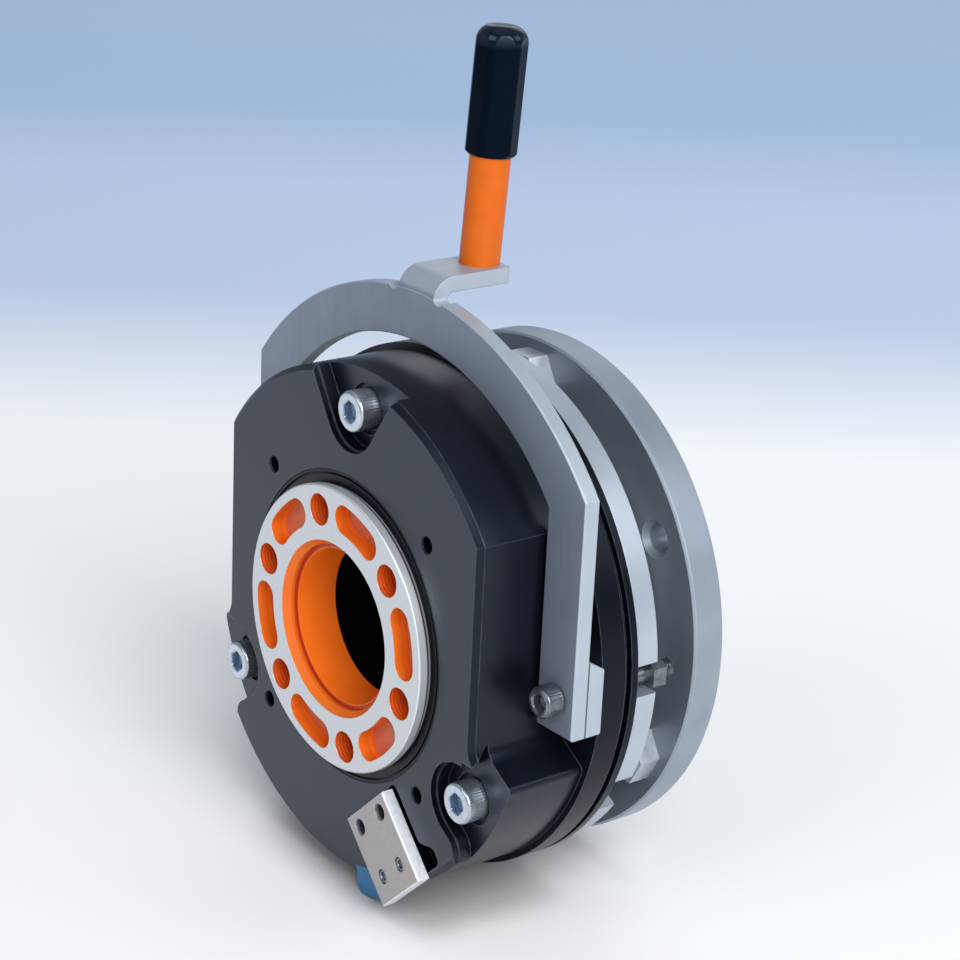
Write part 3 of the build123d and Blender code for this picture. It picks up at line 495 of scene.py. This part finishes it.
# The step behind the bore's mouth, with a painted shadow line in its corner; the mouth's cone is painted
# darker and the wall past the step lighter, as painted light.
corner = product(
    tree,
    beyond(tree, depth, step_depth, 0.7 * mm),
    beyond(tree, radius, step_inside, 0.4 * mm),
    before(tree, radius, step_outside, border),
)
# Painted light: the cone darker, the bore's wall past the step lighter.
painted_bore_light = spread(tree, depth, step_depth + 0.6 * mm, step_depth + 1.0 * mm, 0.86, 1.08)

runs = cloud(tree, 60.0, 3.0)
paint = scaled(tree, toned(tree, runs, (0.82, 0.148, 0.009), (0.90, 0.185, 0.014)), painted_bore_light)
paint = mix(tree, paler_kidney_floor, paint, (0.62, 0.17, 0.085, 1.0))
paint = mix(tree, in_hole, paint, (0.66, 0.095, 0.010, 1.0))
paint = mix(tree, corner, paint, (0.42, 0.035, 0.006, 1.0))

# The flank behind the rim: paint in front, then painted black shade with two bright lines painted as
# highlights of turned rings.
flank = shades(
    tree,
    beyond(tree, depth, 3.0 * mm, 4.0 * mm),
    (0.0, (0.34, 0.10, 0.04)),
    (0.14, (0.17, 0.05, 0.03)),
    (0.22, (0.010, 0.013, 0.019)),
    (0.4, (0.24, 0.26, 0.29)),
    (0.5, (0.010, 0.013, 0.019)),
    (0.7, (0.17, 0.18, 0.20)),
    (0.8, (0.005, 0.007, 0.010)),
)
coat = mix(tree, inside_flank, flank, paint)
# Painted black shade in the bore behind its first seat.
coat = mix(tree, behind, coat, (0.002, 0.002, 0.003, 1.0))
coat = mix(tree, rear, coat, (0.22, 0.24, 0.27, 1.0))

gloss = maths(tree, "SUBTRACT", spread(tree, bare, 0.0, 1.0, 0.28, 0.5), behind)
paint_rough, metal_rough = between(tree, runs, 0.28, 0.4), between(tree, tool, 0.3, 0.42)
rough = add(tree, "ShaderNodeMix", i0=bare, i2=paint_rough, i3=metal_rough).outputs[0]
turned = bevelled(tree, 0.3 * mm, tool, 0.06, 0.05 * mm)
fill(
    tree,
    shader,
    Base_Color=mix(tree, bare, coat, metal),
    Metallic=product(tree, bare, spread(tree, face, 0.0, 1.0, 0.6, 0.95)),
    Specular_IOR_Level=maths(tree, "MAXIMUM", gloss, 0.0),
    Roughness=maths(tree, "MAXIMUM", rough, behind),
    Normal=bumped(tree, thread, 0.35, 0.2 * mm, Normal=turned),
)
dress("flanged_hub", hub_finish)

# Damper ring and front seal: moulded from soft black rubber. The damper sits
# in a groove of the hub's spline, and the ribbed seal in a step of the body.
rubber, tree, shader, dust = mottled(
    "black_rubber", 700.0, (0.012, 0.012, 0.012), (0.02, 0.02, 0.02), smooth=0.5, rough=0.7
)
fill(tree, shader, Normal=bevelled(tree, 0.2 * mm, dust, 0.1, 0.05 * mm))
dress("damper_ring", rubber)

seal_rubber, tree, shader, dust = mottled(
    "seal_rubber", 500.0, (0.003, 0.004, 0.007), (0.006, 0.008, 0.012), smooth=0.3, rough=0.42
)
fill(tree, shader, Specular_IOR_Level=0.25, Normal=bevelled(tree, 0.15 * mm, dust, 0.1, 0.05 * mm))
dress("front_seal_ring", seal_rubber)

# Rotor: an aluminium carrier, whose inner spline slides on the hub, with a
# friction ring, pressed from brown fibre mix, bonded to each side.
carrier = turned_steel("carrier_aluminium", (0.70, 0.71, 0.72), (0.78, 0.79, 0.80), smooth=0.35, rough=0.5)
dress("rotor_carrier", carrier)

lining, tree, shader = finish("friction_lining")
flecks = add(tree, "ShaderNodeTexVoronoi", Scale=700.0, Vector=spot(tree)).outputs["Color"]
fleck = add(tree, "ShaderNodeSeparateColor", Color=flecks).outputs[0]
resin, fibre, brass = (0.05, 0.045, 0.04), (0.11, 0.10, 0.09), (0.42, 0.26, 0.14)
fill(
    tree,
    shader,
    Base_Color=shades(tree, fleck, (0.0, resin), (0.8, fibre), (0.97, brass)),
    Roughness=spread(tree, fleck, 0.0, 1.0, 0.85, 0.6),
    Normal=bumped(tree, fleck, 0.3, 0.1 * mm),
)
dress("front_lining", lining)
dress("rear_lining", lining)


# Screws: zinc-plated socket cap screws with knurled heads, three through the
# body and two, darker ones, that tie the release bow to the armature plate.
def ring_stack(rings, sides, shadow=()):
    """A closed solid of rings along Z, in millimetres; each is (height, radius or radius at an angle).

    The last rings can carry a shadow each, 0 to 1, for the finish to darken a socket."""
    builder = bmesh.new()
    inside = builder.verts.layers.float.new("socket")
    rows = []
    for height, radius in rings:
        row = []
        for step in range(sides):
            angle = tau * step / sides
            reach = radius(angle) if callable(radius) else radius
            row.append(builder.verts.new((reach * cos(angle) * mm, reach * sin(angle) * mm, height * mm)))
        rows.append(row)
    for row, depth in zip(rows[len(rows) - len(shadow):], shadow):
        for point in row:
            point[inside] = depth
    for low, high in zip(rows, rows[1:]):
        for step in range(sides):
            following = (step + 1) % sides
            builder.faces.new((low[step], low[following], high[following], high[step]))
    builder.faces.new(list(reversed(rows[0])))
    builder.faces.new(rows[-1])
    bmesh.ops.recalc_face_normals(builder, faces=builder.faces)
    for face in builder.faces:
        face.smooth = True
    return builder


def hexagon(flats):
    """The radius of a hexagon at each angle, from its width across flats."""
    return lambda angle: flats / 2 / cos((angle + pi / 6) % (pi / 3) - pi / 6)


# A head has 288 steps round it, which 48 or 36 teeth and a socket's six flats divide evenly.
cap_screw_sides = 288
thread_step, thread_cut, knurl_cut = 1.0, 0.45, 0.07


def cap_screw(shank, length, head, top, socket, socket_depth, teeth, threaded=0.0):
    """A socket cap screw along Z, in millimetres: its head from 0 to its top, its shank below.

    Shank and head are given by their radius, and the socket by its width across flats."""
    def knurl(angle):
        return head - knurl_cut * abs(sin(angle * teeth / 2))

    rings = [(-length, shank - 0.5), (-length + 0.5, shank)]
    for turn in range(int(threaded / thread_step)):
        foot, root = -length + 0.6 + turn * thread_step, shank - thread_cut
        rings += [(foot, shank), (foot + 0.35, root), (foot + 0.6, root), (foot + 0.95, shank)]
    rings += [(0.0, shank), (0.0, head - 0.35), (0.35, head), (0.5, knurl), (top - 1.1, knurl)]
    for drop, inset in ((0.95, 0.02), (0.7, 0.08), (0.4, 0.24), (0.15, 0.55), (0.0, 1.05)):
        rings.append((top - drop, head - inset))
    mouth = socket / 2 / cos(pi / 6) + 0.25
    rings += [(top, mouth), (top - 0.35, hexagon(socket))]
    rings += [(top - socket_depth, hexagon(socket)), (top - socket_depth - 0.6, 0.4)]
    return ring_stack(rings, cap_screw_sides, shadow=(0.9, 0.8, 0.1))


def facing_front(x, y, z, turn=0.0):
    """Stands a piece made along Z at a place in millimetres, pointing to the brake's front."""
    place = Matrix.Translation((x * mm, y * mm, z * mm))
    return place @ Matrix.Rotation(pi / 2, 4, "X") @ Matrix.Rotation(turn, 4, "Z")


screw_crease = radians(40.0)


def stand(builder, name, place, material):
    """Makes a screw's mesh an object at its place, with crisp edges and its finish."""
    bmesh.ops.transform(builder, matrix=place, verts=builder.verts)
    obj = link_up(builder, name)
    obj.data.set_sharp_from_angle(angle=screw_crease)
    obj.data.materials.append(material)
    return obj


def plated(name, dark, light, socket_shade, smooth, rough, metallic):
    """Zinc plating, mottled, with painted shade on the sides of a head and in its socket."""
    material, tree, shader = finish(name)
    mottle = cloud(tree, 350.0, 5.0)
    # Painted shade: a head's sides darker than its top.
    skin = scaled(tree, toned(tree, mottle, dark, light), spread(tree, faced(tree), 0.0, 1.0, 0.72, 1.0))
    inside = add(tree, "ShaderNodeAttribute", {"attribute_name": "socket"}).outputs["Fac"]
    fill(
        tree,
        shader,
        Base_Color=mix(tree, inside, skin, (*socket_shade, 1.0)),
        Metallic=metallic,
        Roughness=between(tree, mottle, smooth, rough),
        Normal=bumped(tree, mottle, 0.15, 0.05 * mm),
    )
    return material


zinc = plated(
    "zinc_plated_steel", (0.53, 0.59, 0.66), (0.68, 0.75, 0.82), socket_shade=(0.26, 0.36, 0.50),
    smooth=0.20, rough=0.34, metallic=0.88,
)
dark_zinc = plated(
    "dark_zinc_steel", (0.16, 0.175, 0.20), (0.34, 0.365, 0.40), socket_shade=(0.20, 0.22, 0.26),
    smooth=0.24, rough=0.38, metallic=0.9,
)

screw_circle, screw_seat = 70.5, -76.7
for name, angle, turn in (("top", 90.0, 0.2), ("right", -30.0, 0.35), ("left", -150.0, 0.1)):
    screw = cap_screw(shank=4.0, length=75.0, head=6.5, top=8.0, socket=6.0, socket_depth=3.0, teeth=48)
    across, height = screw_circle * cos(radians(angle)), screw_circle * sin(radians(angle))
    obj = stand(screw, f"mounting_screw_{name}", facing_front(across, screw_seat, height, turn), zinc)
    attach(obj, "housing")
    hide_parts("mounting_screws")

leg_centre, head_seat, head_turn = 76.7, -62.0, 0.15
for name, side in (("left", -1), ("right", 1)):
    screw = cap_screw(
        shank=3.0, length=44.7, head=5.0, top=6.0, socket=5.0, socket_depth=3.0, teeth=36, threaded=9.0
    )
    on_leg = facing_front(side * leg_centre, head_seat, 0.0, head_turn)
    obj = stand(screw, f"release_screw_{name}", on_leg, dark_zinc)
    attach(obj, "armature")
    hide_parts("release_screws")

dress("release_nuts", dark_zinc)

# Release bow and fulcrum blocks: cut from ground steel plate, with the bow's
# tab bent over, and left bare with a faint grain. The release screws hold the
# bow's feet against the blocks, with a dark line of oil in the joint.
plate_steel, tree, shader = finish("plate_steel")
grind = cloud(tree, 400.0, 4.0, (1.0, 1.0, 0.12))
haze = cloud(tree, 26.0, 3.0)
# The cut sides are a lighter tone than the rolled faces, partly their own bright cut and partly painted
# light.
rolled_faces_dark_and_shaded = toned(tree, haze, (0.19, 0.22, 0.28), (0.228, 0.262, 0.328))
cut_sides_bright_and_lit = toned(tree, haze, (0.37, 0.42, 0.48), (0.43, 0.48, 0.55))
block_low, block_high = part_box("fulcrum_block_right")
seam_width, seam_shade = 0.5 * mm, 0.22
place = axes(tree)
seam = product(
    tree,
    beyond(tree, place[1], block_low.y - border, border),
    before(tree, place[1], block_low.y + seam_width, 0.15 * mm),
    before(tree, place[2], block_high.z - seam_width, seam_width),
)
tone = scaled(tree, mix(tree, faced(tree), cut_sides_bright_and_lit, rolled_faces_dark_and_shaded), spread(tree, seam, 0.0, 1.0, 1.0, seam_shade))
worn = rubbed(tree, 0.35 * mm, 220.0, 0.15, 0.6)
fill(
    tree,
    shader,
    Base_Color=mix(tree, worn, tone, (0.60, 0.66, 0.74, 1.0)),
    Metallic=0.5,
    Roughness=between(tree, grind, 0.38, 0.52),
    Normal=bevelled(tree, 0.4 * mm, grind, 0.08, 0.05 * mm),
)
dress("release_bow", plate_steel)
dress("fulcrum_block_left", plate_steel)
dress("fulcrum_block_right", plate_steel)

# Lever: a steel rod, painted orange and screwed into the bow's tab, with a
# black moulded grip pushed onto it, whose reflection is painted on only at its round end.
rod_paint, tree, shader, peel = mottled(
    "orange_rod", 180.0, (0.55, 0.100, 0.002), (0.60, 0.112, 0.003), smooth=0.3, rough=0.38, detail=2.0
)
fill(tree, shader, Specular_IOR_Level=0.2, Normal=bumped(tree, peel, 0.02, 0.05 * mm))
dress("lever_rod", rod_paint)

grip_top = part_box("lever_grip")[1].z
# Painted reflection: the grip's sides barely reflect, its round end does.
dome_start, dome_end = grip_top - 6.5 * mm, grip_top - 3.5 * mm
grip_plastic, tree, shader, skin = mottled(
    "black_grip", 300.0, (0.0008, 0.0030, 0.0080), (0.0012, 0.0036, 0.0092), smooth=0.12, rough=0.18,
    detail=3.0,
)
fill(
    tree,
    shader,
    Specular_IOR_Level=spread(tree, axes(tree)[2], dome_start, dome_end, 0.04, 0.45),
    Specular_Tint=(0.5, 0.75, 1.0, 1.0),
    Normal=bevelled(tree, 0.6 * mm, skin, 0.03, 0.1 * mm),
)
dress("lever_grip", grip_plastic)

# Cable clamp plate and lead grommet: a sawn piece of raw aluminium, held by
# two small screws, presses the blue rubber grommet round the coil's lead.
raw_aluminium, tree, shader = finish("raw_aluminium")
pits = cloud(tree, 900.0, 6.0)
front = toned(tree, pits, (0.39, 0.37, 0.36), (0.47, 0.445, 0.435))
edge = toned(tree, pits, (0.66, 0.68, 0.72), (0.84, 0.86, 0.90))
# Painted shade: the plate's holes and hollows are near-black.
open_side = beyond(tree, openness(tree, 6.0 * mm, 6), 0.3, 0.25)
fill(
    tree,
    shader,
    Base_Color=mix(tree, open_side, (0.02, 0.024, 0.035, 1.0), mix(tree, faced(tree), edge, front)),
    Metallic=0.6,
    Roughness=between(tree, pits, 0.5, 0.65),
    Normal=bevelled(tree, 0.3 * mm, pits, 0.25, 0.1 * mm),
)
dress("cable_clamp_plate", raw_aluminium)

clamp_centre, clamp_turn, clamp_seat = (30.2, -63.48), radians(-46.0), -87.0
screw_along, screw_across = 7.0, 5.8
clamp_screw_rings = [(-9.6, 1.0), (-9.1, 1.5), (0.0, 1.5), (0.0, 2.3), (0.8, 2.3), (1.2, 1.9)]
clamp_screw_rings += [(1.2, 1.5), (1.1, 1.4), (0.5, 1.3), (0.45, 0.2)]
for name, side in (("upper", -1), ("lower", 1)):
    screw = ring_stack(clamp_screw_rings, 48, shadow=(0.7, 0.5))
    x = clamp_centre[0] + screw_along * cos(clamp_turn) - side * screw_across * sin(clamp_turn)
    z = clamp_centre[1] + screw_along * sin(clamp_turn) + side * screw_across * cos(clamp_turn)
    obj = stand(screw, f"clamp_screw_{name}", facing_front(x, clamp_seat, z), dark_zinc)
    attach(obj, "housing")
    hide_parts("clamp_screws")

blue_rubber, tree, shader, dust = mottled(
    "blue_rubber", 500.0, (0.015, 0.12, 0.27), (0.03, 0.17, 0.34), smooth=0.4, rough=0.55
)
fill(tree, shader, Normal=bevelled(tree, 0.3 * mm, dust, 0.1, 0.05 * mm))
dress("lead_grommet", blue_rubber)
